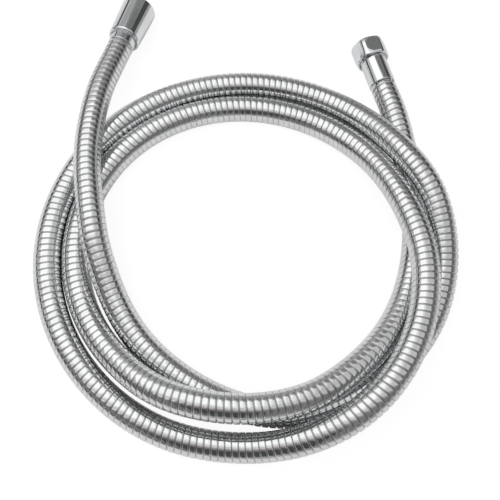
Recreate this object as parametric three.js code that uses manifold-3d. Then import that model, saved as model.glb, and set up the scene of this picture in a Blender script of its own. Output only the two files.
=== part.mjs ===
// Shower hose, 2 m long, lying on a flat surface in just over three loose turns.
//
// A strip-wound metal armour covers a rubber inner hose. Each end carries a crimped ferrule, a brass
// tail with a flange, a union nut that turns on the tail, and a sealing washer. One nut is hexagonal,
// for the wall outlet, and the other is a smooth cone, for the handset.
//
// Millimetres, +Z up. The surface is at z = 0 and the origin is below the middle of the part's box.

import * as THREE from "three";
import { mergeVertices } from "three/addons/utils/BufferGeometryUtils.js";
import Module from "manifold-3d";

const wasm = await Module();
wasm.setup();

// Clearance between pieces that touch or run in each other
const GAP = 0.3;

// The hose: armour outside, rubber inside, with the armour free to slide as it bends
const ARMOUR_OD = 17;
const ARMOUR_WALL = 0.55;
const ARMOUR_PLAY = 1.15;
const INNER_WALL = 1.8;
const ARMOUR_SIDES = 10;
const INNER_SIDES = 8;
const HOSE_STEPS = 76;

// The ferrule, pressed over the inner hose at each end
const FERRULE_WALL = 1.65;
const FERRULE_LENGTH = 21;
const FERRULE_ROLL = 0.6;

// The tail inside each end, and the washer that seals against its flange
const TAIL_WALL = 1.2;
const NECK_INTO_FERRULE = 1;
const SHANK_START = 2;
const BARB_HEIGHT = 0.15;
const BARB_PITCH = 3;
const BARB_COUNT = 5;
const FLANGE_THICKNESS = 1.6;
const WASHER_THICKNESS = 2;
const WASHER_ID = 11;

// Both union nuts have a G1/2 socket: its minor diameter, and the web that the tail's flange pulls on
const THREAD_MINOR = 18.63;
const SOCKET_CHAMFER = 0.9;
const WEB_THICKNESS = 1.6;

// The hexagonal nut
const HEX_ACROSS_FLATS = 22;
const HEX_CORNER_RADIUS = 1.5;
const HEX_LENGTH = 13.3;
const HEX_ENVELOPE_OD = 24.6;
const HEX_REAR_WALL = 1.65;
const HEX_FRONT_OD = 21.9;
const HEX_REAR_DOME = 2.6;
const HEX_FRONT_DOME = 3.6;
const HEX_FERRULE_SHOWING = 20.4;

// The conical nut
const CONE_REAR_WALL = 1.75;
const CONE_FRONT_OD = 24;
const CONE_LENGTH = 32;
const CONE_REAR_ROUND = 1.5;
const CONE_FRONT_CHAMFER = 0.8;
const CONE_FERRULE_SHOWING = 7;

// Facets round the turned pieces
const NUT_FACETS = 48;
const FERRULE_FACETS = 36;
const TAIL_FACETS = 32;
const ARC_STEPS = 4;

// The way each end points in plan, counted from +X
const CONE_HEADING = THREE.MathUtils.degToRad(75);
const HEX_HEADING = THREE.MathUtils.degToRad(105);

// The route of the hose's centre line, from the conical nut's end to the hexagonal nut's end.
// The cone end drops from its crossing, one and a half outer turns follow, then one and a half
// inner turns, and the other end comes out under both. At a crossing the upper run lies on the lower.
const ROUTE = [
  [-85.5, 115.5, 18],
  [-90, 99, 20.5],
  [-94, 83, 23],
  [-98, 54.5, 25.5],
  [-98.5, 24.5, 26],
  [-95, -3, 25.5],
  [-90.5, -27, 23],
  [-85, -45.5, 17],
  [-76.5, -65.5, 11],
  [-62, -87, 8.5],
  [-36, -109.5, 8.5],
  [17, -129, 8.5],
  [73.5, -115, 8.5],
  [95.5, -97, 8.5],
  [113.5, -72, 9.5],
  [121.5, -46, 13.5],
  [121.5, -17.5, 20.5],
  [114.5, 7, 25.5],
  [102, 29, 25],
  [84.5, 54, 17],
  [60, 75, 10.5],
  [27.5, 88, 8.5],
  [-11.5, 90.5, 8.5],
  [-88.5, 55, 8.5],
  [-122.5, -26.5, 8.5],
  [-97.5, -100.5, 8.5],
  [-41, -141.5, 8.5],
  [-12, -147.5, 8.5],
  [16.5, -147.5, 12],
  [41.5, -142, 19],
  [63.5, -131, 24],
  [99, -87.5, 26],
  [106.5, -61.5, 26],
  [107, -34.5, 26],
  [100, -8, 25],
  [89, 18.5, 19.5],
  [71.5, 42.5, 13],
  [48, 60, 9.5],
  [-13, 72, 8.5],
  [-78, 41, 8.5],
  [-105, -24, 8.5],
  [-100.5, -57, 8.5],
  [-86.5, -84.5, 10.5],
  [-68, -104.5, 16],
  [-48.5, -118, 22.5],
  [-27, -125.5, 26],
  [18.5, -127, 26],
  [41.5, -120, 24.5],
  [60.5, -108, 20.5],
  [79, -91, 15.5],
  [94.5, -68.5, 10.5],
  [104, -44, 8.5],
  [108.5, -20, 8.5],
  [109, 11.5, 8.5],
  [106.5, 33.5, 8.5],
  [104.5, 47.5, 9],
  [101.5, 63.5, 10.5],
  [98, 77.5, 11],
  [94.5, 89, 11],
].map((point) => new THREE.Vector3(...point));

// Places along a fitting's axis, counted from the end of the armour towards the nut's mouth
const FERRULE_START = GAP;
const FERRULE_END = FERRULE_START + FERRULE_LENGTH;
const INNER_END = FERRULE_END - NECK_INTO_FERRULE - GAP;
const WEB_REAR = FERRULE_END + GAP;
const WEB_FRONT = WEB_REAR + WEB_THICKNESS;
const FLANGE_REAR = WEB_FRONT + GAP;
const FLANGE_FRONT = FLANGE_REAR + FLANGE_THICKNESS;
const WASHER_REAR = FLANGE_FRONT + GAP;
const WASHER_FRONT = WASHER_REAR + WASHER_THICKNESS;
const CONE_FRONT = CONE_FERRULE_SHOWING + CONE_LENGTH;

// Diameters that follow from what each piece fits in, from the armour inwards and then out to the nuts
const INNER_OD = ARMOUR_OD - 2 * (ARMOUR_WALL + ARMOUR_PLAY);
const INNER_ID = INNER_OD - 2 * INNER_WALL;
const SHANK_OD = INNER_ID - 2 * GAP;
const WATERWAY = SHANK_OD - 2 * TAIL_WALL;
const FERRULE_ID = INNER_OD + 2 * GAP;
const FERRULE_OD = FERRULE_ID + 2 * FERRULE_WALL;
const NECK_OD = INNER_OD - 2 * GAP;
const WEB_BORE = NECK_OD + 2 * GAP;
const FLANGE_OD = THREAD_MINOR - 2 * GAP;
const COUNTERBORE = FERRULE_OD + 2 * GAP;
const CONE_REAR_OD = COUNTERBORE + 2 * CONE_REAR_WALL;
const HEX_REAR_OD = COUNTERBORE + 2 * HEX_REAR_WALL;

const polished = new THREE.MeshStandardMaterial({ color: 0xd4d6d8, roughness: 0.12, metalness: 1 });
const steel = new THREE.MeshStandardMaterial({ color: 0xc8cacc, roughness: 0.2, metalness: 1 });
const brass = new THREE.MeshStandardMaterial({ color: 0xb5934f, roughness: 0.35, metalness: 1 });
const rubber = new THREE.MeshStandardMaterial({ color: 0x1c1c1d, roughness: 0.75, metalness: 0 });

// A smooth curve through the route's points: a cubic spline in chord length whose two ends leave
// along the given directions. It lies on the surface, so it never dips below its resting height.
class HoseRoute extends THREE.Curve {
  constructor(points, startDirection, endDirection, restHeight) {
    super();
    this.points = points;
    this.restHeight = restHeight;
    this.arcLengthDivisions = 1200;
    this.knots = [0];
    for (let i = 1; i < points.length; i += 1) {
      this.knots.push(this.knots[i - 1] + points[i].distanceTo(points[i - 1]));
    }
    this.bends = this.solveBends(startDirection, endDirection);
  }

  // Second derivatives at the knots, from the tridiagonal equations of a clamped cubic spline
  solveBends(startDirection, endDirection) {
    const last = this.points.length - 1;
    const span = (i) => this.knots[i + 1] - this.knots[i];
    const slope = (i) => this.points[i + 1].clone().sub(this.points[i]).divideScalar(span(i));
    const diagonal = [];
    const right = [];
    for (let i = 0; i <= last; i += 1) {
      const before = i === 0 ? startDirection.clone() : slope(i - 1);
      const after = i === last ? endDirection.clone() : slope(i);
      const left = i === 0 ? 0 : span(i - 1);
      const ahead = i === last ? 0 : span(i);
      diagonal.push(2 * (left + ahead));
      right.push(after.sub(before).multiplyScalar(6));
    }
    for (let i = 1; i <= last; i += 1) {
      const share = span(i - 1) / diagonal[i - 1];
      diagonal[i] -= share * span(i - 1);
      right[i].addScaledVector(right[i - 1], -share);
    }
    const bends = new Array(last + 1);
    bends[last] = right[last].divideScalar(diagonal[last]);
    for (let i = last - 1; i >= 0; i -= 1) {
      bends[i] = right[i].addScaledVector(bends[i + 1], -span(i)).divideScalar(diagonal[i]);
    }
    return bends;
  }

  getPoint(t, target = new THREE.Vector3()) {
    const place = t * this.knots.at(-1);
    let i = 0;
    while (i < this.knots.length - 2 && this.knots[i + 1] < place) {
      i += 1;
    }
    const span = this.knots[i + 1] - this.knots[i];
    const ahead = (place - this.knots[i]) / span;
    const behind = 1 - ahead;
    const sixth = (span * span) / 6;
    target.set(0, 0, 0);
    target.addScaledVector(this.points[i], behind);
    target.addScaledVector(this.points[i + 1], ahead);
    target.addScaledVector(this.bends[i], (behind ** 3 - behind) * sixth);
    target.addScaledVector(this.bends[i + 1], (ahead ** 3 - ahead) * sixth);
    target.z = Math.max(target.z, this.restHeight);
    return target;
  }
}

// Unit vector at a heading in plan, dropping by the given angle
function direction(heading, drop) {
  const flat = Math.cos(drop);
  return new THREE.Vector3(flat * Math.cos(heading), flat * Math.sin(heading), -Math.sin(drop));
}

// The drop of an axis that starts at the given height, so that a rim some way along it rests on z = 0
function restingDrop(height, along, radius) {
  return Math.asin(height / Math.hypot(along, radius)) - Math.atan2(radius, along);
}

// Points on a circular arc in a profile, from one angle to another in degrees
function arc(centreR, centreZ, radiusR, radiusZ, fromDeg, toDeg, steps = ARC_STEPS) {
  const points = [];
  for (let i = 0; i <= steps; i += 1) {
    const angle = THREE.MathUtils.degToRad(fromDeg + ((toDeg - fromDeg) * i) / steps);
    points.push([centreR + radiusR * Math.cos(angle), centreZ + radiusZ * Math.sin(angle)]);
  }
  return points;
}

// A turned piece: the closed profile [radius, place along the axis] goes round the Z axis, starting
// straight down, with its outer side listed towards the mouth and its bore listed back
function turned(profile, facets) {
  const points = [...profile, profile[0]].map(([radius, place]) => new THREE.Vector2(radius, place));
  return new THREE.LatheGeometry(points, facets).rotateX(Math.PI / 2);
}

// A ring-shaped section for a hose: the outer polygon lies inside its circle and the bore's
// polygon outside its own, so what fits in the bore keeps its clearance
function hoseSection(outerDiameter, boreDiameter, sides) {
  const shape = new THREE.Shape(polygon(outerDiameter / 2, sides));
  shape.holes.push(new THREE.Path(polygon(boreDiameter / 2 / Math.cos(Math.PI / sides), sides)));
  return shape;
}

function polygon(radius, sides) {
  const corners = [];
  for (let i = 0; i < sides; i += 1) {
    const angle = (2 * Math.PI * i) / sides;
    corners.push(new THREE.Vector2(radius * Math.cos(angle), radius * Math.sin(angle)));
  }
  return corners;
}

function hose(section, path) {
  return new THREE.ExtrudeGeometry(section, { steps: HOSE_STEPS, bevelEnabled: false, extrudePath: path });
}

function toSolid(geometry) {
  const bare = geometry.clone();
  bare.deleteAttribute("normal");
  bare.deleteAttribute("uv");
  const merged = mergeVertices(bare, 1e-4);
  return new wasm.Manifold(
    new wasm.Mesh({
      numProp: 3,
      vertProperties: new Float32Array(merged.attributes.position.array),
      triVerts: new Uint32Array(merged.index.array),
    }),
  );
}

function toGeometry(solid) {
  const mesh = solid.getMesh();
  const geometry = new THREE.BufferGeometry();
  geometry.setAttribute("position", new THREE.BufferAttribute(new Float32Array(mesh.vertProperties), 3));
  geometry.setIndex(new THREE.BufferAttribute(new Uint32Array(mesh.triVerts), 1));
  geometry.computeVertexNormals();
  return geometry;
}

// The pressed ferrule: a plain sleeve with its edge rolled in where the hose enters
function ferrule() {
  const outer = FERRULE_OD / 2;
  const bore = FERRULE_ID / 2;
  return turned(
    [
      [bore, FERRULE_START],
      ...arc(outer - FERRULE_ROLL, FERRULE_START + FERRULE_ROLL, FERRULE_ROLL, FERRULE_ROLL, -90, 0),
      [outer, FERRULE_END],
      [bore, FERRULE_END],
    ],
    FERRULE_FACETS,
  );
}

// The tail: a barbed shank in the inner hose, a neck through the nut's web, and the flange that
// the nut pulls against the washer
function tail() {
  const shank = SHANK_OD / 2;
  const waterway = WATERWAY / 2;
  const neckStart = FERRULE_END - NECK_INTO_FERRULE;
  const profile = [[waterway, SHANK_START]];
  for (let i = 0; i < BARB_COUNT; i += 1) {
    const barb = SHANK_START + i * BARB_PITCH;
    profile.push([shank - BARB_HEIGHT, barb], [shank, barb + BARB_PITCH / 2]);
  }
  profile.push(
    [shank - BARB_HEIGHT, neckStart],
    [NECK_OD / 2, neckStart],
    [NECK_OD / 2, FLANGE_REAR],
    [FLANGE_OD / 2, FLANGE_REAR],
    [FLANGE_OD / 2, FLANGE_FRONT],
    [waterway, FLANGE_FRONT],
  );
  return turned(profile, TAIL_FACETS);
}

function washer() {
  return turned(
    [
      [WASHER_ID / 2, WASHER_REAR],
      [FLANGE_OD / 2, WASHER_REAR],
      [FLANGE_OD / 2, WASHER_FRONT],
      [WASHER_ID / 2, WASHER_FRONT],
    ],
    TAIL_FACETS,
  );
}

// The inside of a union nut as a profile from its mouth back to its rear face: the socket with its
// lead-in, the web round the tail's neck, and the counterbore round the ferrule
function nutInside(rear, front) {
  return [
    [THREAD_MINOR / 2 + SOCKET_CHAMFER, front],
    [THREAD_MINOR / 2, front - SOCKET_CHAMFER],
    [THREAD_MINOR / 2, WEB_FRONT],
    [WEB_BORE / 2, WEB_FRONT],
    [WEB_BORE / 2, WEB_REAR],
    [COUNTERBORE / 2, WEB_REAR],
    [COUNTERBORE / 2, rear],
  ];
}

function coneNut() {
  const rear = CONE_FERRULE_SHOWING;
  const front = CONE_FRONT;
  const rearRadius = CONE_REAR_OD / 2;
  const frontRadius = CONE_FRONT_OD / 2;
  return turned(
    [
      ...arc(rearRadius - CONE_REAR_ROUND, rear + CONE_REAR_ROUND, CONE_REAR_ROUND, CONE_REAR_ROUND, -90, 0),
      [frontRadius, front - CONE_FRONT_CHAMFER],
      [frontRadius - CONE_FRONT_CHAMFER, front],
      ...nutInside(rear, front),
    ],
    NUT_FACETS,
  );
}

// The hexagonal nut: a six-sided bar with soft corners, turned to a dome at each end, then bored
function hexNut() {
  const rear = HEX_FERRULE_SHOWING;
  const front = rear + HEX_LENGTH;
  const outline = new THREE.Shape();
  const cornerDistance = (HEX_ACROSS_FLATS / 2 - HEX_CORNER_RADIUS) / Math.cos(Math.PI / 6);
  for (let i = 0; i < 6; i += 1) {
    const corner = (i * Math.PI) / 3;
    const half = Math.PI / 6;
    const centreX = cornerDistance * Math.cos(corner);
    const centreY = cornerDistance * Math.sin(corner);
    outline.absarc(centreX, centreY, HEX_CORNER_RADIUS, corner - half, corner + half, false);
  }
  outline.closePath();
  const bar = new THREE.ExtrudeGeometry(outline, {
    depth: HEX_LENGTH,
    bevelEnabled: false,
    curveSegments: ARC_STEPS,
  }).translate(0, 0, rear);
  const widest = HEX_ENVELOPE_OD / 2;
  const rearRadius = HEX_REAR_OD / 2;
  const frontRadius = HEX_FRONT_OD / 2;
  const envelope = turned(
    [
      [0, rear],
      ...arc(rearRadius, rear + HEX_REAR_DOME, widest - rearRadius, HEX_REAR_DOME, -90, 0),
      ...arc(frontRadius, front - HEX_FRONT_DOME, widest - frontRadius, HEX_FRONT_DOME, 0, 90),
      [0, front],
    ],
    NUT_FACETS,
  );
  const inside = turned(
    [
      [0, rear - GAP],
      [COUNTERBORE / 2, rear - GAP],
      ...nutInside(rear, front).slice(1, 6).reverse(),
      [THREAD_MINOR / 2 + SOCKET_CHAMFER + GAP, front + GAP],
      [0, front + GAP],
    ],
    NUT_FACETS,
  );
  return toGeometry(toSolid(bar).intersect(toSolid(envelope)).subtract(toSolid(inside)));
}

// A group whose Z axis is a fitting's axis, from the armour's end, with its Y axis as near to
// straight up as it can be
function fitting(place, axis) {
  const side = new THREE.Vector3().crossVectors(new THREE.Vector3(0, 0, 1), axis).normalize();
  const up = new THREE.Vector3().crossVectors(axis, side);
  const group = new THREE.Group();
  group.position.copy(place);
  group.quaternion.setFromRotationMatrix(new THREE.Matrix4().makeBasis(side, up, axis));
  return group;
}

function named(name, geometry, material) {
  const mesh = new THREE.Mesh(geometry, material);
  mesh.name = name;
  return mesh;
}

const coneEnd = ROUTE[0];
const hexEnd = ROUTE.at(-1);
const coneRim = CONE_FRONT - CONE_FRONT_CHAMFER;
const coneAxis = direction(CONE_HEADING, restingDrop(coneEnd.z, coneRim, CONE_FRONT_OD / 2));
const hexAxis = direction(HEX_HEADING, 0);

// The armour runs from ferrule to ferrule, and the inner hose goes on into both ferrules
const restHeight = ARMOUR_OD / 2;
const armourRoute = new HoseRoute(ROUTE, coneAxis.clone().negate(), hexAxis, restHeight);
const innerPoints = [
  coneEnd.clone().addScaledVector(coneAxis, INNER_END),
  ...ROUTE,
  hexEnd.clone().addScaledVector(hexAxis, INNER_END),
];
const innerRoute = new HoseRoute(innerPoints, coneAxis.clone().negate(), hexAxis, restHeight);

const showerHose = new THREE.Group();
showerHose.name = "shower_hose";

const armourSection = hoseSection(ARMOUR_OD, ARMOUR_OD - 2 * ARMOUR_WALL, ARMOUR_SIDES);
const innerSection = hoseSection(INNER_OD, INNER_ID, INNER_SIDES);
showerHose.add(named("armour", hose(armourSection, armourRoute), steel));
showerHose.add(named("inner_hose", hose(innerSection, innerRoute), rubber));

const ends = [
  { name: "cone", place: coneEnd, axis: coneAxis, nut: coneNut },
  { name: "hex", place: hexEnd, axis: hexAxis, nut: hexNut },
];
for (const end of ends) {
  const group = fitting(end.place, end.axis);
  group.add(named(`${end.name}_ferrule`, ferrule(), polished));
  group.add(named(`${end.name}_tail`, tail(), brass));
  group.add(named(`${end.name}_washer`, washer(), rubber));
  group.add(named(`${end.name}_nut`, end.nut(), polished));
  showerHose.add(group);
}

export default showerHose;
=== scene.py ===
"""Shower hose: strip-wound steel armour in a loose coil, with a union nut at each end.

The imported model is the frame. This script puts the finished surfaces over its solids: the wound
strip with its grooves, the turned and threaded nuts, the pressed ferrules, and what lies inside
them. Lengths are in metres, +Z is up, and the hose lies on the surface at z = 0.
"""

import logging
import math
from dataclasses import dataclass
from enum import Enum

import bmesh
import bpy
import numpy as np
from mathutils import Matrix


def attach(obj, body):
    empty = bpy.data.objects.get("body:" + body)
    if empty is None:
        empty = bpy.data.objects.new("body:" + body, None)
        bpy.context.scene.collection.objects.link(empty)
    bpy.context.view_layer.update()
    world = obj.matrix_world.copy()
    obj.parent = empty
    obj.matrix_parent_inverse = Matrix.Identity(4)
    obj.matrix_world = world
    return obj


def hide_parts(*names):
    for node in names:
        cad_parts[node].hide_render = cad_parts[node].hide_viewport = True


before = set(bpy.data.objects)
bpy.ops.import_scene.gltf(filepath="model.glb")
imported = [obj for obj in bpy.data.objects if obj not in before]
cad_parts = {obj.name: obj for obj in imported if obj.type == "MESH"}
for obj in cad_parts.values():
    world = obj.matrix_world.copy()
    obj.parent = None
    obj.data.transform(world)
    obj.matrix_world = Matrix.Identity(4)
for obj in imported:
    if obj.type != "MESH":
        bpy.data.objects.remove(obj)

Array = np.ndarray
Point = tuple[float, float, float]
Socket = bpy.types.NodeSocket

log = logging.getLogger("shower_hose")

MERGE_DISTANCE = 1e-6
CORNER_STEPS = 5
# How far from an arc the point lies that keeps the straight flat, as a share of the arc's radius
FLAT_LEAD = 0.35

# The centre line of the hose, from the conical nut's end to the hexagonal nut's end
ROUTE: list[Point] = [
    (-0.0855, 0.1155, 0.018),
    (-0.09, 0.099, 0.0205),
    (-0.094, 0.083, 0.023),
    (-0.098, 0.0545, 0.0255),
    (-0.0985, 0.0245, 0.026),
    (-0.095, -0.003, 0.0255),
    (-0.0905, -0.027, 0.023),
    (-0.085, -0.0455, 0.017),
    (-0.0765, -0.0655, 0.011),
    (-0.062, -0.087, 0.0085),
    (-0.036, -0.1095, 0.0085),
    (0.017, -0.129, 0.0085),
    (0.0735, -0.115, 0.0085),
    (0.0955, -0.097, 0.0085),
    (0.1135, -0.072, 0.0095),
    (0.1215, -0.046, 0.0135),
    (0.1215, -0.0175, 0.0205),
    (0.1145, 0.007, 0.0255),
    (0.102, 0.029, 0.025),
    (0.0845, 0.054, 0.017),
    (0.06, 0.075, 0.0105),
    (0.0275, 0.088, 0.0085),
    (-0.0115, 0.0905, 0.0085),
    (-0.0885, 0.055, 0.0085),
    (-0.1225, -0.0265, 0.0085),
    (-0.0975, -0.1005, 0.0085),
    (-0.041, -0.1415, 0.0085),
    (-0.012, -0.1475, 0.0085),
    (0.0165, -0.1475, 0.012),
    (0.0415, -0.142, 0.019),
    (0.0635, -0.131, 0.024),
    (0.099, -0.0875, 0.026),
    (0.1065, -0.0615, 0.026),
    (0.107, -0.0345, 0.026),
    (0.1, -0.008, 0.025),
    (0.089, 0.0185, 0.0195),
    (0.0715, 0.0425, 0.013),
    (0.048, 0.06, 0.0095),
    (-0.013, 0.072, 0.0085),
    (-0.078, 0.041, 0.0085),
    (-0.105, -0.024, 0.0085),
    (-0.1005, -0.057, 0.0085),
    (-0.0865, -0.0845, 0.0105),
    (-0.068, -0.1045, 0.016),
    (-0.0485, -0.118, 0.0225),
    (-0.027, -0.1255, 0.026),
    (0.0185, -0.127, 0.026),
    (0.0415, -0.12, 0.0245),
    (0.0605, -0.108, 0.0205),
    (0.079, -0.091, 0.0155),
    (0.0945, -0.0685, 0.0105),
    (0.104, -0.044, 0.0085),
    (0.1085, -0.02, 0.0085),
    (0.109, 0.0115, 0.0085),
    (0.1065, 0.0335, 0.0085),
    (0.1045, 0.0475, 0.009),
    (0.1015, 0.0635, 0.0105),
    (0.098, 0.0775, 0.011),
    (0.0945, 0.089, 0.011),
]


class End(Enum):
    """The two ends of the hose, by the shape of their nuts."""

    CONE = "cone"
    HEX = "hex"


# Meshes worked out on grids


def grid_quads(rows: int, columns: int, closed_rows: bool) -> Array:
    """Four-sided faces between neighbouring points of a grid that is closed round its columns.

    Args:
        rows: Points along the path or profile.
        columns: Points round the axis.
        closed_rows: Whether the last row joins the first.

    Returns:
        One row of four point numbers for each face, facing away from the solid.
    """
    first = np.arange(rows if closed_rows else rows - 1)[:, None] * columns
    following = (first + columns) % (rows * columns)
    here = np.arange(columns)[None, :]
    beside = (here + 1) % columns
    corners = [first + here, first + beside, following + beside, following + here]
    return np.stack(np.broadcast_arrays(*corners), -1).reshape(-1, 4)


def add_piece(name: str, points: Array, quads: Array) -> bpy.types.Object:
    """Puts points and faces into a new smooth object at the origin.

    Args:
        name: The piece's name.
        points: Places in the part's frame, one row each.
        quads: Point numbers of each face.

    Returns:
        The object, linked to the scene.
    """
    mesh = bpy.data.meshes.new(name)
    mesh.from_pydata(points.reshape(-1, 3), [], quads)
    mesh.polygons.foreach_set("use_smooth", np.ones(len(quads), bool))
    mesh.update()
    piece = bpy.data.objects.new(name, mesh)
    bpy.context.scene.collection.objects.link(piece)
    return piece


def merge_doubles(piece: bpy.types.Object) -> None:
    """Joins the points of a piece that lie on each other."""
    edit = bmesh.new()
    edit.from_mesh(piece.data)
    bmesh.ops.remove_doubles(edit, verts=edit.verts, dist=MERGE_DISTANCE)
    edit.to_mesh(piece.data)
    edit.free()


def fit(piece: bpy.types.Object, body: str, node: str, material: bpy.types.Material) -> None:
    """Lets a piece ride on its body in place of a CAD node, with its finish.

    Args:
        piece: The finished piece.
        body: The CAD body that it moves with.
        node: The CAD node that it stands for.
        material: The finish that it wears.
    """
    piece.data.materials.append(material)
    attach(piece, body)
    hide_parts(node)
    log.info("%s: %d points, rides on %s", piece.name, len(piece.data.vertices), body)


def unit(vectors: Array) -> Array:
    """Each vector divided by its length."""
    return vectors / np.linalg.norm(vectors, axis=-1, keepdims=True)


def smooth_step(value: Array, low: float, high: float) -> Array:
    """Rises smoothly from 0 at low to 1 at high."""
    share = np.clip((value - low) / (high - low), 0, 1)
    return share * share * (3 - 2 * share)


def smoothed(values: Array, half: int) -> Array:
    """Evens out the columns of a table with a bell-shaped running mean.

    Each end is carried on by its point reflection, so end values and end slopes stay.

    Args:
        values: One row for each sample.
        half: Samples on each side that a row is averaged with.

    Returns:
        The table, evened out.
    """
    weight = np.hanning(2 * half + 3)[1:-1]
    before = 2 * values[:1] - values[half:0:-1]
    after = 2 * values[-1:] - values[-2 : -half - 2 : -1]
    padded = np.concatenate([before, values, after])
    columns = [np.convolve(column, weight / weight.sum(), "valid") for column in padded.T]
    return np.stack(columns, -1)


def soft_minimum(first: Array, second: Array, width: float) -> Array:
    """The smaller of two lengths, with a blend of the given width where they are close."""
    share = np.clip(0.5 + 0.5 * (second - first) / width, 0, 1)
    return second + (first - second) * share - width * share * (1 - share)


def rounded(corners: list[Point]) -> Array:
    """A closed profile with every corner rounded by its own radius.

    The arc at a corner has its centre on the line that halves the angle, at the radius divided by
    the sine of half the angle. A point a little way before and after each arc keeps the straights
    flat in smooth shading.

    Args:
        corners: Radius from the axis, place along the axis and rounding radius of each corner.

    Returns:
        Points of the profile, as radius and place along the axis.
    """
    table = np.array(corners)
    at, rounding = table[:, :2], table[:, 2:]
    back = unit(np.roll(at, 1, axis=0) - at)
    ahead = unit(np.roll(at, -1, axis=0) - at)
    half = np.arccos(np.clip((back * ahead).sum(1, keepdims=True), -1, 1)) / 2
    centre = at + unit(back + ahead) * rounding / np.sin(half)
    reach = rounding / np.tan(half)
    start = at + back * reach - centre
    end = at + ahead * reach - centre
    turn = math.pi - 2 * half[:, :, None]
    share = np.linspace(0, 1, CORNER_STEPS + 1)[None, :, None]
    arc = (np.sin((1 - share) * turn) * start[:, None] + np.sin(share * turn) * end[:, None]) / np.sin(turn)
    arc += centre[:, None]
    lead = FLAT_LEAD * rounding
    before = (at + back * (reach + lead))[:, None]
    after = (at + ahead * (reach + lead))[:, None]
    return np.concatenate([before, arc, after], axis=1).reshape(-1, 2)


def open_profile(corners: list[Point]) -> Array:
    """The rounded profile without its first and last corner, which only give it its directions."""
    profile = rounded(corners)
    points_in_corner = len(profile) // len(corners)
    return profile[points_in_corner:-points_in_corner]


@dataclass(frozen=True)
class Axis:
    """The line that a fitting is turned about, from the armour's end face towards the nut's mouth."""

    origin: Array
    side: Array
    up: Array
    along: Array

    @classmethod
    def leaving(cls, origin: Array, along: Array) -> "Axis":
        """The axis that leaves a point in a direction, with its up vector as steep as it can be."""
        side = unit(np.cross([0.0, 0.0, 1.0], along))
        return cls(origin, side, np.cross(along, side), along)

    def points(self, radius: Array, angle: Array, place: Array) -> Array:
        """Points at a radius, an angle from side towards up, and a place along the axis."""
        out = np.cos(angle)[..., None] * self.side + np.sin(angle)[..., None] * self.up
        return self.origin + radius[..., None] * out + place[..., None] * self.along

    def turned(self, name: str, profile: Array, sides: int) -> bpy.types.Object:
        """A closed profile carried round the axis, its outer side listed towards the mouth."""
        angle = np.arange(sides) * 2 * math.pi / sides
        radius, angle, place = np.broadcast_arrays(profile[:, :1], angle[None, :], profile[:, 1:])
        points = self.points(radius, angle, place)
        return add_piece(name, points, grid_quads(len(profile), sides, closed_rows=True))


# The centre line


class CentreLine:
    """The hose's centre line: a cubic spline through the route that leaves both ends along their axes."""

    SAMPLES = 24000
    # Samples on each side that the line is evened out over where it touches down, and its bend
    TOUCH_SAMPLES = 85
    BEND_SAMPLES = 24

    def __init__(self, points: Array, start: Array, end: Array, rest: float) -> None:
        """Works out the spline and its frames at close, even steps.

        Args:
            points: The route's points.
            start: Unit direction at the first point.
            end: Unit direction at the last point.
            rest: The lowest height of the centre line, where the hose lies on the surface.
        """
        line = self.spline(points, start, end)
        line[:, 2] = np.maximum(line[:, 2], rest)
        line = smoothed(line, self.TOUCH_SAMPLES)
        walked = np.r_[0, np.cumsum(np.linalg.norm(np.diff(line, axis=0), axis=1))]
        self.length = float(walked[-1])
        self.at = np.linspace(0, self.length, self.SAMPLES)
        self.line = np.stack([np.interp(self.at, walked, line[:, k]) for k in range(3)], -1)
        self.tangent = unit(np.gradient(self.line, self.at, axis=0))
        self.tangent[0], self.tangent[-1] = start, end
        self.side = unit(np.cross([0.0, 0.0, 1.0], self.tangent))
        self.up = np.cross(self.tangent, self.side)
        self.bend = smoothed(np.gradient(self.tangent, self.at, axis=0), self.BEND_SAMPLES)

    @classmethod
    def spline(cls, points: Array, start: Array, end: Array) -> Array:
        """Samples a cubic spline in chord length whose ends have given directions.

        The second derivatives M solve h(i-1) M(i-1) + 2 (h(i-1) + h(i)) M(i) + h(i) M(i+1) = six
        times the change of slope, where h is the chord. Between two points the curve is the chord
        plus (a^3 - a) h^2 / 6 of each end's M, with a the nearness to that end.

        Args:
            points: The route's points.
            start: Unit direction at the first point.
            end: Unit direction at the last point.

        Returns:
            The samples, one row each.
        """
        chord = np.linalg.norm(np.diff(points, axis=0), axis=1)
        knots = np.r_[0, np.cumsum(chord)]
        slopes = np.vstack([start, np.diff(points, axis=0) / chord[:, None], end])
        left, right = np.r_[0, chord], np.r_[chord, 0]
        system = np.diag(2 * (left + right)) + np.diag(chord, 1) + np.diag(chord, -1)
        bends = np.linalg.solve(system, 6 * np.diff(slopes, axis=0))
        place = np.linspace(0, knots[-1], cls.SAMPLES)
        i = np.clip(np.searchsorted(knots, place, side="right") - 1, 0, len(chord) - 1)
        ahead = ((place - knots[i]) / chord[i])[:, None]
        behind = 1 - ahead
        sixth = (chord[i] ** 2 / 6)[:, None]
        straight = behind * points[i] + ahead * points[i + 1]
        return straight + sixth * ((behind**3 - behind) * bends[i] + (ahead**3 - ahead) * bends[i + 1])

    def pick(self, values: Array, place: Array) -> Array:
        """Values of the line's samples at places along it, by linear interpolation."""
        share = np.clip(place, 0, self.length) / self.length * (len(self.at) - 1)
        low = np.minimum(share.astype(int), len(self.at) - 2)
        part = (share - low)[..., None]
        return values[low] * (1 - part) + values[low + 1] * part

    def points(self, place: Array, angle: Array, radius: Array) -> Array:
        """Points round the line: from the centre out at an angle from its side towards its up vector."""
        out = np.cos(angle)[..., None] * self.pick(self.side, place)
        out = out + np.sin(angle)[..., None] * self.pick(self.up, place)
        return self.pick(self.line, place) + radius[..., None] * out


# Finishes


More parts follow.
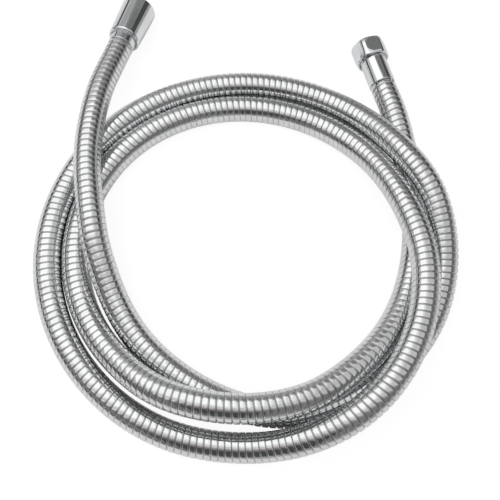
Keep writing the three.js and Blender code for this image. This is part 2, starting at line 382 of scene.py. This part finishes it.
class Graph:
    """Adds shader nodes to a tree, where an input that is given a socket is linked to it."""

    def __init__(self, tree: bpy.types.NodeTree) -> None:
        """Starts an empty tree."""
        self.tree = tree
        tree.nodes.clear()

    def add(self, kind: str, inputs: dict | None = None, **settings: object) -> bpy.types.Node:
        """Adds one node.

        Args:
            kind: The node's type name.
            inputs: Values or sockets for its inputs, by name or number.
            settings: Values of the node's own properties.

        Returns:
            The node.
        """
        node = self.tree.nodes.new(kind)
        for name, value in settings.items():
            setattr(node, name, value)
        for name, value in (inputs or {}).items():
            if isinstance(value, bpy.types.NodeSocket):
                self.tree.links.new(value, node.inputs[name])
            else:
                node.inputs[name].default_value = value
        return node

    def math(self, operation: str, *values: Socket | float) -> Socket:
        """The result of a Math node."""
        return self.add("ShaderNodeMath", dict(enumerate(values)), operation=operation).outputs[0]

    def ramp(
        self,
        value: Socket,
        low: float,
        high: float,
        to_low: Socket | float = 0.0,
        to_high: Socket | float = 1.0,
    ) -> Socket:
        """A smooth change from to_low to to_high as the value goes from low to high."""
        inputs = {"Value": value, "From Min": low, "From Max": high, "To Min": to_low, "To Max": to_high}
        return self.add("ShaderNodeMapRange", inputs, interpolation_type="SMOOTHSTEP").outputs["Result"]

    def window(self, value: Socket, span: tuple[float, float], soft: float) -> Socket:
        """1 while a value is inside a span and 0 outside it, with a soft step at both ends."""
        low, high = span
        rise = self.ramp(value, low - soft, low + soft)
        fall = self.ramp(value, high - soft, high + soft, 1.0, 0.0)
        return self.math("MULTIPLY", rise, fall)

    def blend(self, share: Socket, first: Socket | Point, second: Socket | Point) -> Socket:
        """A colour between two colours."""
        node = self.add("ShaderNodeMix", data_type="RGBA")
        for name, value in (("Factor_Float", share), ("A_Color", first), ("B_Color", second)):
            socket = next(s for s in node.inputs if s.identifier == name)
            if isinstance(value, bpy.types.NodeSocket):
                self.tree.links.new(value, socket)
            else:
                socket.default_value = (*value, 1.0)
        return next(s for s in node.outputs if s.identifier == "Result_Color")

    def noise(self, vector: Socket, scale: float, detail: float = 2.0) -> Socket:
        """Soft noise from 0 to 1 at a scale in cycles for each metre."""
        inputs = {"Vector": vector, "Scale": scale, "Detail": detail}
        return self.add("ShaderNodeTexNoise", inputs).outputs["Fac"]


@dataclass(frozen=True)
class Metal:
    """A metal finish: a base colour, its polish, and how evenly it is polished.

    Scales are in cycles for each metre and heights in metres. A range is the span of the noise
    over which the colour or the roughness goes from its first value to its second.
    """

    name: str
    colour: Point
    shade: Point
    roughness: tuple[float, float]
    wave_scale: float
    wave_height: float
    grain_scale: float
    grain_height: float
    # Painted shade colour for recesses, where a point attribute marks them, and the roughness there
    recess_shade: Point | None = None
    recess_shade_roughness: float = 0.45
    drift_scale: float = 90.0
    drift_range: tuple[float, float] = (0.3, 0.7)
    polish_scale: float = 260.0
    polish_range: tuple[float, float] = (0.25, 0.75)

    def material(self) -> bpy.types.Material:
        """A metal whose colour and polish drift a little over its surface, with painted shade in its grooves
        and recesses.
        """
        made = bpy.data.materials.new(self.name)
        made.use_nodes = True
        graph = Graph(made.node_tree)
        at = graph.add("ShaderNodeTexCoord").outputs["Object"]
        drift = graph.ramp(graph.noise(at, self.drift_scale, 3.0), *self.drift_range)
        colour = graph.blend(drift, self.shade, self.colour)
        polish = graph.noise(at, self.polish_scale, 4.0)
        roughness = graph.ramp(polish, *self.polish_range, *self.roughness)
        # Painted shade: where the point attribute rises, deep in the grooves and over the armour's lining,
        # the colour darkens to the painted shade colour and the roughness rises
        if self.recess_shade is not None:
            depth = graph.add("ShaderNodeAttribute", attribute_name="recess_shade").outputs["Fac"]
            colour = graph.blend(depth, colour, self.recess_shade)
            roughness = graph.ramp(depth, 0.0, 1.0, roughness, self.recess_shade_roughness)
        wave = {"Height": graph.noise(at, self.wave_scale), "Distance": self.wave_height, "Strength": 1.0}
        grain = {"Height": graph.noise(at, self.grain_scale, 4.0), "Distance": self.grain_height}
        grain["Normal"] = graph.add("ShaderNodeBump", wave).outputs["Normal"]
        normal = graph.add("ShaderNodeBump", grain).outputs["Normal"]
        inputs = {"Base Color": colour, "Metallic": 1.0, "Roughness": roughness, "Normal": normal}
        shader = graph.add("ShaderNodeBsdfPrincipled", inputs)
        graph.add("ShaderNodeOutputMaterial", {"Surface": shader.outputs["BSDF"]})
        return made


@dataclass(frozen=True)
class Rubber:
    """A moulded rubber finish with a fine skin."""

    name: str
    colour: Point
    shade: Point
    roughness: tuple[float, float]
    skin_scale: float
    skin_height: float
    cloud_scale: float = 180.0
    cloud_range: tuple[float, float] = (0.2, 0.8)

    def material(self) -> bpy.types.Material:
        """A dull black surface with a faint skin."""
        made = bpy.data.materials.new(self.name)
        made.use_nodes = True
        graph = Graph(made.node_tree)
        at = graph.add("ShaderNodeTexCoord").outputs["Object"]
        cloud = graph.noise(at, self.cloud_scale, 4.0)
        colour = graph.blend(cloud, self.colour, self.shade)
        roughness = graph.ramp(cloud, *self.cloud_range, *self.roughness)
        skin = {"Height": graph.noise(at, self.skin_scale, 5.0), "Distance": self.skin_height}
        normal = graph.add("ShaderNodeBump", skin).outputs["Normal"]
        inputs = {"Base Color": colour, "Roughness": roughness, "Normal": normal}
        shader = graph.add("ShaderNodeBsdfPrincipled", inputs)
        graph.add("ShaderNodeOutputMaterial", {"Surface": shader.outputs["BSDF"]})
        return made


STEEL = Metal(
    "polished_strip_steel",
    colour=(0.81, 0.815, 0.82),
    shade=(0.74, 0.745, 0.75),
    roughness=(0.06, 0.12),
    wave_scale=420.0,
    wave_height=0.00006,
    grain_scale=2600.0,
    grain_height=0.0000015,
    # Painted shade colour of the armour's grooves and lining
    recess_shade=(0.46, 0.46, 0.46),
)
CHROME = Metal(
    "polished_chrome",
    colour=(0.84, 0.85, 0.86),
    shade=(0.79, 0.80, 0.815),
    roughness=(0.03, 0.07),
    wave_scale=150.0,
    wave_height=0.00004,
    grain_scale=2200.0,
    grain_height=0.0000008,
)
BRASS = Metal(
    "turned_brass",
    colour=(0.74, 0.60, 0.33),
    shade=(0.60, 0.47, 0.25),
    roughness=(0.24, 0.38),
    wave_scale=200.0,
    wave_height=0.00002,
    grain_scale=3000.0,
    grain_height=0.000003,
)
HOSE_RUBBER = Rubber(
    "black_hose_rubber",
    colour=(0.018, 0.018, 0.019),
    shade=(0.026, 0.026, 0.027),
    roughness=(0.5, 0.65),
    skin_scale=900.0,
    skin_height=0.00002,
)
WASHER_RUBBER = Rubber(
    "black_washer_rubber",
    colour=(0.014, 0.014, 0.014),
    shade=(0.024, 0.023, 0.023),
    roughness=(0.6, 0.75),
    skin_scale=1400.0,
    skin_height=0.00003,
)


# The hose


@dataclass
class Armour:
    """The strip-wound steel armour, whose bands stand apart by narrow grooves."""

    outer_radius: float = 0.0085
    inner_radius: float = 0.0072
    pitch: float = 0.004
    sides: int = 24
    lining_rings: int = 170
    end_inset: float = 0.0001

    # Half the band's section: distance from its middle, and drop below the outer radius
    band_offsets: tuple[float, ...] = (0.00134, 0.00164, 0.00175)
    band_drops: tuple[float, ...] = (0.0, 0.00004, 0.0004)
    groove_depth: float = 0.0009
    # Depth into a groove where the painted shade begins; it is full at the groove's bottom
    recess_shade_start: float = 0.0002

    def section(self) -> tuple[Array, Array]:
        """The whole band's section, from its rear shoulder to its front shoulder.

        Returns:
            Offsets from the band's middle, and drops below the outer radius.
        """
        offsets = np.array(self.band_offsets)
        drops = np.array(self.band_drops)
        return np.r_[-offsets[::-1], offsets], np.r_[drops[::-1], drops]

    def build(self, line: CentreLine) -> bpy.types.Object:
        """The wound strip with its lining.

        Args:
            line: The hose's centre line.

        Returns:
            The piece, with an attribute of painted shade that is 1 in the grooves and over the lining and 0
            on the bands.
        """
        place, angle, radius, rows_in_turn = self.wound(line)
        points = line.points(place, angle, radius)
        # Painted shade, rising with the depth into a groove
        recess_shade = smooth_step(self.outer_radius - radius, self.recess_shade_start, self.groove_depth)
        strip = self.sheared_quads(len(place), rows_in_turn)
        ring = np.linspace(0, line.length, self.lining_rings)
        ring = np.r_[ring[:1], ring, ring[-1:]][:, None]
        depth = np.full_like(ring, self.inner_radius)
        depth[[0, -1]] = self.outer_radius - self.end_inset
        lining = line.points(*np.broadcast_arrays(ring, angle[:1], depth))
        inside = grid_quads(len(ring), self.sides, closed_rows=False)[:, ::-1] + place.size
        everything = np.concatenate([points.reshape(-1, 3), lining.reshape(-1, 3)])
        piece = add_piece("hose_armour", everything, np.concatenate([strip, inside]))
        # Painted shade: the lining is in full shade, its two end rings in none
        recess_shade_share = np.r_[recess_shade.ravel(), np.repeat([0.0, *[1.0] * self.lining_rings, 0.0], self.sides)]
        layer = piece.data.attributes.new("recess_shade", "FLOAT", "POINT")
        layer.data.foreach_set("value", recess_shade_share.astype(np.float32))
        merge_doubles(piece)
        return piece

    def wound(self, line: CentreLine) -> tuple[Array, Array, Array, int]:
        """The strip's points by place along the line, angle round it and radius.

        Band n has its middle at pitch * (n + angle / full turn) along the line. A point of its
        section lies at that place plus its offset divided by how much the line shrinks there,
        1 - radius * (bend . outward), so bands keep their width and the grooves open on the
        outside of a bend. The bottom of each groove is half a pitch before the band's middle.

        Args:
            line: The hose's centre line.

        Returns:
            Place, angle and radius of each point, and the number of rows in a turn.
        """
        offsets, drops = self.section()
        turns = int(math.ceil(line.length / self.pitch)) + 3
        angle = np.arange(self.sides) * 2 * math.pi / self.sides
        middle = self.pitch * (np.arange(turns)[:, None] - 1 + angle[None, :] / (2 * math.pi))
        outward = np.cos(angle)[:, None] * line.pick(line.side, middle)
        outward = outward + np.sin(angle)[:, None] * line.pick(line.up, middle)
        shrink = 1 - self.outer_radius * (line.pick(line.bend, middle) * outward).sum(-1)
        place = middle[:, None, :] + offsets[None, :, None] / shrink[:, None, :]
        place = np.concatenate([middle[:, None, :] - self.pitch / 2, place], axis=1)
        drops = np.r_[self.groove_depth, drops]
        radius = np.broadcast_to(self.outer_radius - drops[None, :, None], place.shape)
        beyond = (place < 0) | (place > line.length)
        radius = np.where(beyond, self.outer_radius - self.end_inset, radius)
        place = np.clip(place, 0, line.length).reshape(-1, self.sides)
        radius = radius.reshape(-1, self.sides)
        return place, np.broadcast_to(angle, place.shape), radius, len(drops)

    def sheared_quads(self, rows: int, rows_in_turn: int) -> Array:
        """Faces of the strip, where the last point round joins the first point one turn on."""
        row = np.arange(rows - 1 - rows_in_turn)[:, None] * self.sides
        here = np.arange(self.sides)[None, :]
        beside = (here + 1) % self.sides
        onward = np.where(here + 1 == self.sides, rows_in_turn * self.sides, 0)
        near = [row + here, row + beside + onward]
        corners = [*near, *(corner + self.sides for corner in near[::-1])]
        return np.stack(np.broadcast_arrays(*corners), -1).reshape(-1, 4)


@dataclass
class InnerHose:
    """The rubber hose inside the armour, which runs on into both ferrules."""

    outer_radius: float = 0.0068
    inner_radius: float = 0.005
    overrun: float = 0.02
    rings: int = 520
    sides: int = 20
    edge_round: float = 0.0003

    def build(self, line: CentreLine) -> bpy.types.Object:
        """A tube along the centre line and straight on past both its ends."""
        end = self.overrun + line.length
        run = np.linspace(-self.overrun + self.edge_round, end - self.edge_round, self.rings)
        wall = np.full_like(run, self.outer_radius)
        bore = np.full_like(run, self.inner_radius)
        place = np.r_[-self.overrun, run, end, end, run[::-1], -self.overrun][:, None]
        lip = self.outer_radius - self.edge_round
        mouth = self.inner_radius + self.edge_round
        radius = np.r_[lip, wall, lip, mouth, bore, mouth][:, None]
        angle = np.arange(self.sides)[None, :] * 2 * math.pi / self.sides
        place, angle, radius = np.broadcast_arrays(place, angle, radius)
        points = line.points(place, angle, radius)
        points = points + np.minimum(place, 0)[..., None] * line.tangent[0]
        points = points + np.maximum(place - line.length, 0)[..., None] * line.tangent[-1]
        return add_piece("rubber_hose", points, grid_quads(len(place), self.sides, closed_rows=True))


# The fittings


@dataclass
class Ferrule:
    """The sleeve that is pressed over the hose's end, with its edge rolled in next to the armour."""

    outer_radius: float = 0.00875
    bore_radius: float = 0.0071
    start: float = 0.0003
    length: float = 0.021
    roll: float = 0.0006
    edge: float = 0.0002
    sides: int = 96

    def build(self, name: str, axis: Axis) -> bpy.types.Object:
        """The turned sleeve, from the profile of its rolled edge and its bore."""
        end = self.start + self.length
        profile = [
            (self.outer_radius, self.start, self.roll),
            (self.outer_radius, end, self.edge),
            (self.bore_radius, end, self.edge),
            (self.bore_radius, self.start, self.edge),
        ]
        return axis.turned(name, rounded(profile), self.sides)


@dataclass
class Tail:
    """The brass tail: a barbed shank in the rubber hose, a neck in the nut's web, and the flange."""

    waterway_radius: float = 0.0035
    shank_radius: float = 0.0047
    shank_start: float = 0.002
    barb_height: float = 0.00015
    barb_pitch: float = 0.003
    barb_count: int = 5
    neck_radius: float = 0.0065
    neck_start: float = 0.0203
    flange_radius: float = 0.009015
    flange_start: float = 0.0235
    flange_end: float = 0.0251
    edge: float = 0.0001
    sides: int = 72

    def build(self, name: str, axis: Axis) -> bpy.types.Object:
        """The turned tail, whose barbs rise towards the flange."""
        root = self.shank_radius - self.barb_height
        tiny = self.edge / 4
        profile = [(self.waterway_radius, self.shank_start, self.edge)]
        for barb in range(self.barb_count):
            start = self.shank_start + barb * self.barb_pitch
            profile.append((root, start, tiny))
            profile.append((self.shank_radius, start + self.barb_pitch / 2, tiny))
        profile += [
            (root, self.neck_start, self.edge),
            (self.neck_radius, self.neck_start, self.edge),
            (self.neck_radius, self.flange_start, self.edge),
            (self.flange_radius, self.flange_start, self.edge),
            (self.flange_radius, self.flange_end, self.edge),
            (self.waterway_radius, self.flange_end, 4 * self.edge),
        ]
        return axis.turned(name, rounded(profile), self.sides)


@dataclass
class Washer:
    """The flat rubber washer that lies on the tail's flange."""

    outer_radius: float = 0.009015
    bore_radius: float = 0.0055
    start: float = 0.0254
    thickness: float = 0.002
    edge: float = 0.00025
    sides: int = 72

    def build(self, name: str, axis: Axis) -> bpy.types.Object:
        """The washer as a ring with soft edges."""
        end = self.start + self.thickness
        profile = [
            (self.outer_radius, self.start, self.edge),
            (self.outer_radius, end, self.edge),
            (self.bore_radius, end, self.edge),
            (self.bore_radius, self.start, self.edge),
        ]
        return axis.turned(name, rounded(profile), self.sides)


@dataclass
class UnionNut:
    """What both union nuts share: the threaded socket, the web, and the counterbore on the ferrule."""

    rear: float
    front: float
    minor_radius: float = 0.009315
    major_radius: float = 0.0104775
    thread_pitch: float = 0.001814
    thread_start: float = 0.0278
    thread_rows_in_pitch: int = 12
    mouth_chamfer: float = 0.0009
    web_rear: float = 0.0216
    web_front: float = 0.0232
    web_radius: float = 0.0068
    counterbore_radius: float = 0.00905
    recess: float = 0.0008
    edge: float = 0.00012
    sides: int = 180

    def skin(self) -> Array:
        """The turned outside, from the rear face to the mouth, as radius and place of each row."""
        raise NotImplementedError

    def shaped(self, radius: Array, angle: Array) -> Array:
        """The turned outside's radius at an angle, cut to the nut's shape; a round nut keeps it."""
        return radius

    def build(self, name: str, axis: Axis) -> bpy.types.Object:
        """The nut: its outside and its threaded inside as one closed surface.

        Args:
            name: The piece's name.
            axis: The line that it is turned about.

        Returns:
            The piece.
        """
        skin = self.skin()
        profile = np.concatenate([skin, self.inside()])
        angle = np.arange(self.sides)[None, :] * 2 * math.pi / self.sides
        radius, angle, place = np.broadcast_arrays(profile[:, :1], angle, profile[:, 1:])
        radius = self.threaded(radius, place, angle)
        outside = np.arange(len(profile))[:, None] < len(skin)
        radius = np.where(outside, self.shaped(radius, angle), radius)
        return add_piece(name, axis.points(radius, angle, place), grid_quads(len(profile), self.sides, True))

    def inside(self) -> Array:
        """The profile from the mouth back to the rear face, with rows for the thread.

        Returns:
            Radius and place of each row.
        """
        thread_end = self.front - self.mouth_chamfer
        rows = int((thread_end - self.thread_start) / self.thread_pitch * self.thread_rows_in_pitch)
        thread = np.linspace(thread_end, self.thread_start, rows)
        threaded = np.stack([np.full(rows, self.minor_radius), thread], -1)
        mouth = np.array([[self.minor_radius + self.mouth_chamfer, self.front]])
        corners = [
            (self.minor_radius, self.thread_start, self.edge),
            (self.minor_radius, self.web_front, self.edge),
            (self.web_radius, self.web_front, self.edge),
            (self.web_radius, self.web_rear, self.edge),
            (self.counterbore_radius, self.web_rear, self.edge),
            (self.counterbore_radius, self.rear + self.recess, self.edge),
            (self.counterbore_radius + self.recess, self.rear, self.edge),
            (self.counterbore_radius + 2 * self.recess, self.rear, self.edge),
        ]
        return np.concatenate([mouth, threaded, open_profile(corners)])

    def threaded(self, radius: Array, place: Array, angle: Array) -> Array:
        """Cuts the thread into the socket's wall.

        The groove's depth is a wave of the place along the axis less the angle's share of the
        pitch, so it climbs right-handed, and it fades out at both ends of the thread.

        Args:
            radius: Radius of each point.
            place: Place of each point along the axis.
            angle: Angle of each point.

        Returns:
            The radius with the thread in it.
        """
        wave = 0.5 - 0.5 * np.cos(2 * math.pi * (place / self.thread_pitch - angle / (2 * math.pi)))
        start = smooth_step(place, self.thread_start, self.thread_start + self.thread_pitch)
        mouth = self.front - self.mouth_chamfer
        end = 1 - smooth_step(place, mouth - self.thread_pitch, mouth)
        on_wall = np.abs(radius - self.minor_radius) < self.edge / 10
        depth = (self.major_radius - self.minor_radius) * wave * start * end
        return radius + np.where(on_wall, depth, 0)


@dataclass
class ConeNut(UnionNut):
    """The smooth conical nut for the handset."""

    rear: float = 0.007
    front: float = 0.039
    rear_radius: float = 0.0108
    front_radius: float = 0.012
    rear_round: float = 0.0015
    front_chamfer: float = 0.0008

    def skin(self) -> Array:
        """The cone, from its rounded rear edge to its chamfered mouth."""
        corners = [
            (self.counterbore_radius + self.recess, self.rear, self.edge),
            (self.rear_radius, self.rear, self.rear_round),
            (self.front_radius, self.front - self.front_chamfer, self.edge),
            (self.front_radius - self.front_chamfer, self.front, self.edge),
            (self.minor_radius + self.mouth_chamfer, self.front, self.edge),
        ]
        return open_profile(corners)


@dataclass
class HexNut(UnionNut):
    """The hexagonal nut for the wall outlet: a bar with soft corners, turned to a dome at each end."""

    rear: float = 0.0204
    front: float = 0.0337
    across_flats: float = 0.022
    corner_radius: float = 0.0022
    widest_radius: float = 0.0123
    rear_radius: float = 0.0107
    front_radius: float = 0.01095
    rear_dome: float = 0.007
    front_dome: float = 0.0045
    dome_blend: float = 0.0011
    dome_rows: int = 28
    bar_rows: int = 36

    def hexagon(self, angle: Array) -> Array:
        """Radius of the six-sided bar at an angle.

        A flat lies at half the width across flats divided by the cosine of the angle to its
        middle. Near a corner the radius is that of a circle whose centre lies on the corner's line.
        """
        apothem = self.across_flats / 2
        off = np.abs((angle + math.pi / 6) % (math.pi / 3) - math.pi / 6)
        centre = (apothem - self.corner_radius) / math.cos(math.pi / 6)
        reach = centre + self.corner_radius * math.cos(math.pi / 6)
        arc_end = math.atan2(self.corner_radius / 2, reach)
        chord = np.maximum(self.corner_radius**2 - (centre * np.sin(off)) ** 2, 0)
        corner = centre * np.cos(off) + np.sqrt(chord)
        return np.where(off < arc_end, corner, apothem / np.cos(math.pi / 6 - off))

    def skin(self) -> Array:
        """The turned outline of the nut: a quarter of an ellipse at each end and a straight between."""
        quarter = np.linspace(0, math.pi / 2, self.dome_rows)
        rear_reach = self.widest_radius - self.rear_radius
        front_reach = self.widest_radius - self.front_radius
        rear_end = self.rear + self.rear_dome
        front_start = self.front - self.front_dome
        rear_place = rear_end - self.rear_dome * np.cos(quarter)
        rear = [self.rear_radius + rear_reach * np.sin(quarter), rear_place]
        straight = np.linspace(rear_end, front_start, self.bar_rows)[1:-1]
        bar = [np.full_like(straight, self.widest_radius), straight]
        front_place = front_start + self.front_dome * np.sin(quarter)
        front = [self.front_radius + front_reach * np.cos(quarter), front_place]
        return np.concatenate([np.stack(part, -1) for part in (rear, bar, front)])

    def shaped(self, radius: Array, angle: Array) -> Array:
        """At each angle the outside is the smaller of the hexagon and the turned outline."""
        return soft_minimum(radius, self.hexagon(angle), self.dome_blend)


@dataclass
class Fitting:
    """One end of the hose: ferrule, tail, washer and nut on one axis."""

    end: End
    axis: Axis
    nut: UnionNut

    def build(self, finishes: dict[str, bpy.types.Material]) -> list[bpy.types.Object]:
        """Builds the four pieces in their finishes.

        Args:
            finishes: Materials by the record's slot names.

        Returns:
            The pieces.
        """
        name = self.end.value
        union = f"{name}_union"
        parts = [
            ("ferrule", "root", "fitting_chrome", Ferrule()),
            ("tail", "root", "tail_brass", Tail()),
            ("washer", union, "washer_rubber", Washer()),
            ("nut", union, "fitting_chrome", self.nut),
        ]
        pieces = []
        for part, body, slot, maker in parts:
            piece = maker.build(f"{name}_{part}_finish", self.axis)
            fit(piece, body, f"{name}_{part}", finishes[slot])
            pieces.append(piece)
        return pieces


@dataclass
class ShowerHose:
    """The whole hose: where its ends point, and all its pieces."""

    cone_heading_deg: float = 75.0
    hex_heading_deg: float = 105.0
    cone_rim_place: float = 0.0382
    cone_rim_radius: float = 0.012

    def cone_drop(self) -> float:
        """The angle at which the conical nut's axis falls, so that its rim rests on the surface."""
        reach = math.hypot(self.cone_rim_place, self.cone_rim_radius)
        return math.asin(ROUTE[0][2] / reach) - math.atan2(self.cone_rim_radius, self.cone_rim_place)

    @staticmethod
    def direction(heading_deg: float, drop: float) -> Array:
        """Unit vector at a heading in plan, falling by the given angle."""
        heading = math.radians(heading_deg)
        flat = math.cos(drop)
        return np.array([flat * math.cos(heading), flat * math.sin(heading), -math.sin(drop)])

    def build(self) -> None:
        route = np.array(ROUTE)
        cone_along = self.direction(self.cone_heading_deg, self.cone_drop())
        hex_along = self.direction(self.hex_heading_deg, 0.0)
        armour = Armour()
        line = CentreLine(route, -cone_along, hex_along, armour.outer_radius)
        finishes = {
            "armour_steel": STEEL.material(),
            "fitting_chrome": CHROME.material(),
            "tail_brass": BRASS.material(),
            "hose_rubber": HOSE_RUBBER.material(),
            "washer_rubber": WASHER_RUBBER.material(),
        }
        strip = armour.build(line)
        fit(strip, "root", "armour", finishes["armour_steel"])
        tube = InnerHose().build(line)
        fit(tube, "root", "inner_hose", finishes["hose_rubber"])
        Fitting(End.CONE, Axis.leaving(route[0], cone_along), ConeNut()).build(finishes)
        far_end = Fitting(End.HEX, Axis.leaving(route[-1], hex_along), HexNut()).build(finishes)
        log.info("hose: %.4f m long", line.length)


# The studio


def grey(level: float) -> Point:
    """A neutral colour."""
    return (level, level, level)


@dataclass(frozen=True)
class Patch:
    """A soft-edged area of the tent's roof, in metres to the right and to the back of the middle."""

    right: tuple[float, float]
    back: tuple[float, float]
    soft: float
    colour: Point

    def cover(self, graph: Graph, right: Socket, back: Socket) -> Socket:
        """1 inside the area and 0 outside it: the product of a soft step at each of its four sides."""
        share: Socket | float = 1.0
        for value, span in ((right, self.right), (back, self.back)):
            share = graph.math("MULTIPLY", share, graph.window(value, span, self.soft))
        return share


# The roof's areas, each painted over those before it. FAR is past the roof's edge.
FAR = 9
ROOF_DARK = grey(0.21)
ROOF = (
    Patch((-FAR, FAR), (0.62, FAR), 0.06, grey(0.40)),
    Patch((-0.05, FAR), (0.74, FAR), 0.04, grey(0.24)),
    Patch((-FAR, -0.74), (-0.28, FAR), 0.05, grey(0.55)),
    Patch((-1.0, -0.02), (0.52, 0.84), 0.04, grey(0.66)),
    Patch((-FAR, -1.15), (0.7, FAR), 0.06, grey(0.12)),
    Patch((-FAR, -2.1), (-FAR, FAR), 0.06, grey(0.05)),
    Patch((0.86, 2.4), (-FAR, FAR), 0.04, grey(0.16)),
    Patch((0.7, 2.9), (0.55, 2.6), 0.06, grey(0.07)),
    Patch((-0.9, 0.9), (-0.46, -0.26), 0.03, grey(0.32)),
    Patch((-0.55, 0.14), (-FAR, -0.56), 0.03, grey(0.07)),
    Patch((0.16, 0.84), (0.46, 0.8), 0.03, grey(0.19)),
    Patch((0.06, 0.82), (-0.32, 0.49), 0.02, grey(0.60)),
    Patch((-0.7, 0.0), (-0.39, -0.34), 0.008, (0.40, 0.27, 0.22)),
    Patch((-0.74, 0.2), (-0.34, -0.12), 0.012, grey(0.66)),
    Patch((-0.74, -0.38), (-0.4, -0.34), 0.01, grey(1.0)),
    Patch((-0.02, 0.19), (-0.1, 0.46), 0.02, grey(0.84)),
    Patch((-0.78, 0.06), (-0.17, 0.62), 0.02, grey(0.95)),
    Patch((-0.7, 0.02), (-0.05, 0.55), 0.03, grey(1.2)),
)


@dataclass
class Studio:
    """A white table under a tent, whose roof glows most in its middle and is darker to its sides."""

    camera_place: Point = (0.0038, -0.1691, 0.392)
    camera_tilt_deg: float = 20.0
    lens_mm: float = 47.0
    sensor_mm: float = 36.0
    table_half: float = 4.0
    table_colour: Point = (0.80, 0.80, 0.80)
    table_glow: float = 1.05
    shadow_share: float = 0.12
    roof_height: float = 0.65
    roof_half: float = 3.0
    walls_level: float = 0.36
    stripe_black: tuple[float, float] = (0.085, 0.22)
    stripe_black_level: float = 0.03
    stripe_white: tuple[float, float] = (0.03, 0.085)
    stripe_white_level: float = 0.9
    stripe_soft: float = 0.008
    stripe_left: tuple[float, float] = (-0.45, -0.1)
    lamp_place: Point = (-0.25, -0.35, 1.1)
    lamp_size: float = 0.9
    lamp_power: float = 8.2
    bounces: int = 16
    mirror_bounces: int = 12

    def camera(self) -> None:
        """The camera at the photograph's place and angle."""
        data = bpy.data.cameras.new("camera")
        data.lens = self.lens_mm
        data.sensor_width = self.sensor_mm
        camera = bpy.data.objects.new("camera", data)
        camera.location = self.camera_place
        camera.rotation_euler = (math.radians(self.camera_tilt_deg), 0.0, 0.0)
        bpy.context.scene.collection.objects.link(camera)
        bpy.context.scene.camera = camera

    def table(self) -> None:
        """The table: white to the camera with a faint shadow, and a lit pale surface to the metal."""
        half = self.table_half
        corners = np.array([[-half, -half, 0], [half, -half, 0], [half, half, 0], [-half, half, 0]])
        piece = add_piece("table", corners, np.array([[0, 1, 2, 3]]))
        made = bpy.data.materials.new("table_white")
        made.use_nodes = True
        graph = Graph(made.node_tree)
        sees = graph.add("ShaderNodeLightPath").outputs["Is Camera Ray"]
        share = graph.math("MULTIPLY", sees, 1 - self.shadow_share)
        lit = graph.add("ShaderNodeBsdfDiffuse", {"Color": (*self.table_colour, 1.0)}).outputs[0]
        white = {"Color": (1, 1, 1, 1), "Strength": self.table_glow}
        glow = graph.add("ShaderNodeEmission", white).outputs[0]
        mixed = graph.add("ShaderNodeMixShader", {0: share, 1: lit, 2: glow})
        graph.add("ShaderNodeOutputMaterial", {"Surface": mixed.outputs[0]})
        piece.data.materials.append(made)

    def roof(self) -> None:
        """The tent's glowing roof, which only the metal and the light see."""
        half = self.roof_half
        corners = np.array([[-half, half, 0], [half, half, 0], [half, -half, 0], [-half, -half, 0]])
        corners[:, 2] = self.roof_height
        piece = add_piece("tent_roof", corners, np.array([[0, 1, 2, 3]]))
        made = bpy.data.materials.new("tent_light")
        made.use_nodes = True
        graph = Graph(made.node_tree)
        at = graph.add("ShaderNodeTexCoord").outputs["Object"]
        right, back, _ = graph.add("ShaderNodeSeparateXYZ", {0: at}).outputs
        colour: Socket | Point = ROOF_DARK
        for patch in ROOF:
            colour = graph.blend(patch.cover(graph, right, back), colour, patch.colour)
        glow = graph.add("ShaderNodeEmission", {"Color": colour, "Strength": 1.0})
        graph.add("ShaderNodeOutputMaterial", {"Surface": glow.outputs[0]})
        piece.data.materials.append(made)
        piece.visible_camera = False
        piece.visible_shadow = False

    def walls(self) -> None:
        """The tent's walls as the world: grey, with a black and a white stripe on the left."""
        world = bpy.data.worlds.new("tent_walls")
        bpy.context.scene.world = world
        world.use_nodes = True
        graph = Graph(world.node_tree)
        way = graph.add("ShaderNodeTexCoord").outputs["Generated"]
        x, _, z = graph.add("ShaderNodeSeparateXYZ", {0: way}).outputs
        left = graph.ramp(x, *self.stripe_left, 1.0, 0.0)
        colour: Socket | Point = grey(self.walls_level)
        black = (self.stripe_black, self.stripe_black_level)
        white = (self.stripe_white, self.stripe_white_level)
        for span, level in (black, white):
            share = graph.math("MULTIPLY", left, graph.window(z, span, self.stripe_soft))
            colour = graph.blend(share, colour, grey(level))
        sees = graph.add("ShaderNodeLightPath").outputs["Is Camera Ray"]
        colour = graph.blend(sees, colour, grey(1.0))
        light = graph.add("ShaderNodeBackground", {"Color": colour, "Strength": 1.0})
        graph.add("ShaderNodeOutputWorld", {"Surface": light.outputs[0]})

    def lamp(self) -> None:
        """A soft square lamp that points at the middle of the coil and shows in no reflection."""
        data = bpy.data.lights.new("lamp", "AREA")
        data.size = self.lamp_size
        data.energy = self.lamp_power
        lamp = bpy.data.objects.new("lamp", data)
        lamp.location = self.lamp_place
        toward = -lamp.location
        lamp.rotation_euler = toward.to_track_quat("-Z", "Y").to_euler()
        lamp.visible_glossy = False
        bpy.context.scene.collection.objects.link(lamp)

    def build(self) -> None:
        """Sets up the camera, table, tent and lamp, with plain colours and bounces for the steel."""
        self.camera()
        self.table()
        self.roof()
        self.walls()
        self.lamp()
        bpy.context.scene.view_settings.view_transform = "Standard"
        bpy.context.scene.cycles.max_bounces = self.bounces
        bpy.context.scene.cycles.glossy_bounces = self.mirror_bounces


def main() -> None:
    """Builds the studio and the hose, and reports each piece."""
    logging.basicConfig(level=logging.INFO, format="%(name)s: %(message)s")
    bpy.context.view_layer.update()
    Studio().build()
    ShowerHose().build()


if __name__ == "__main__":
    main()
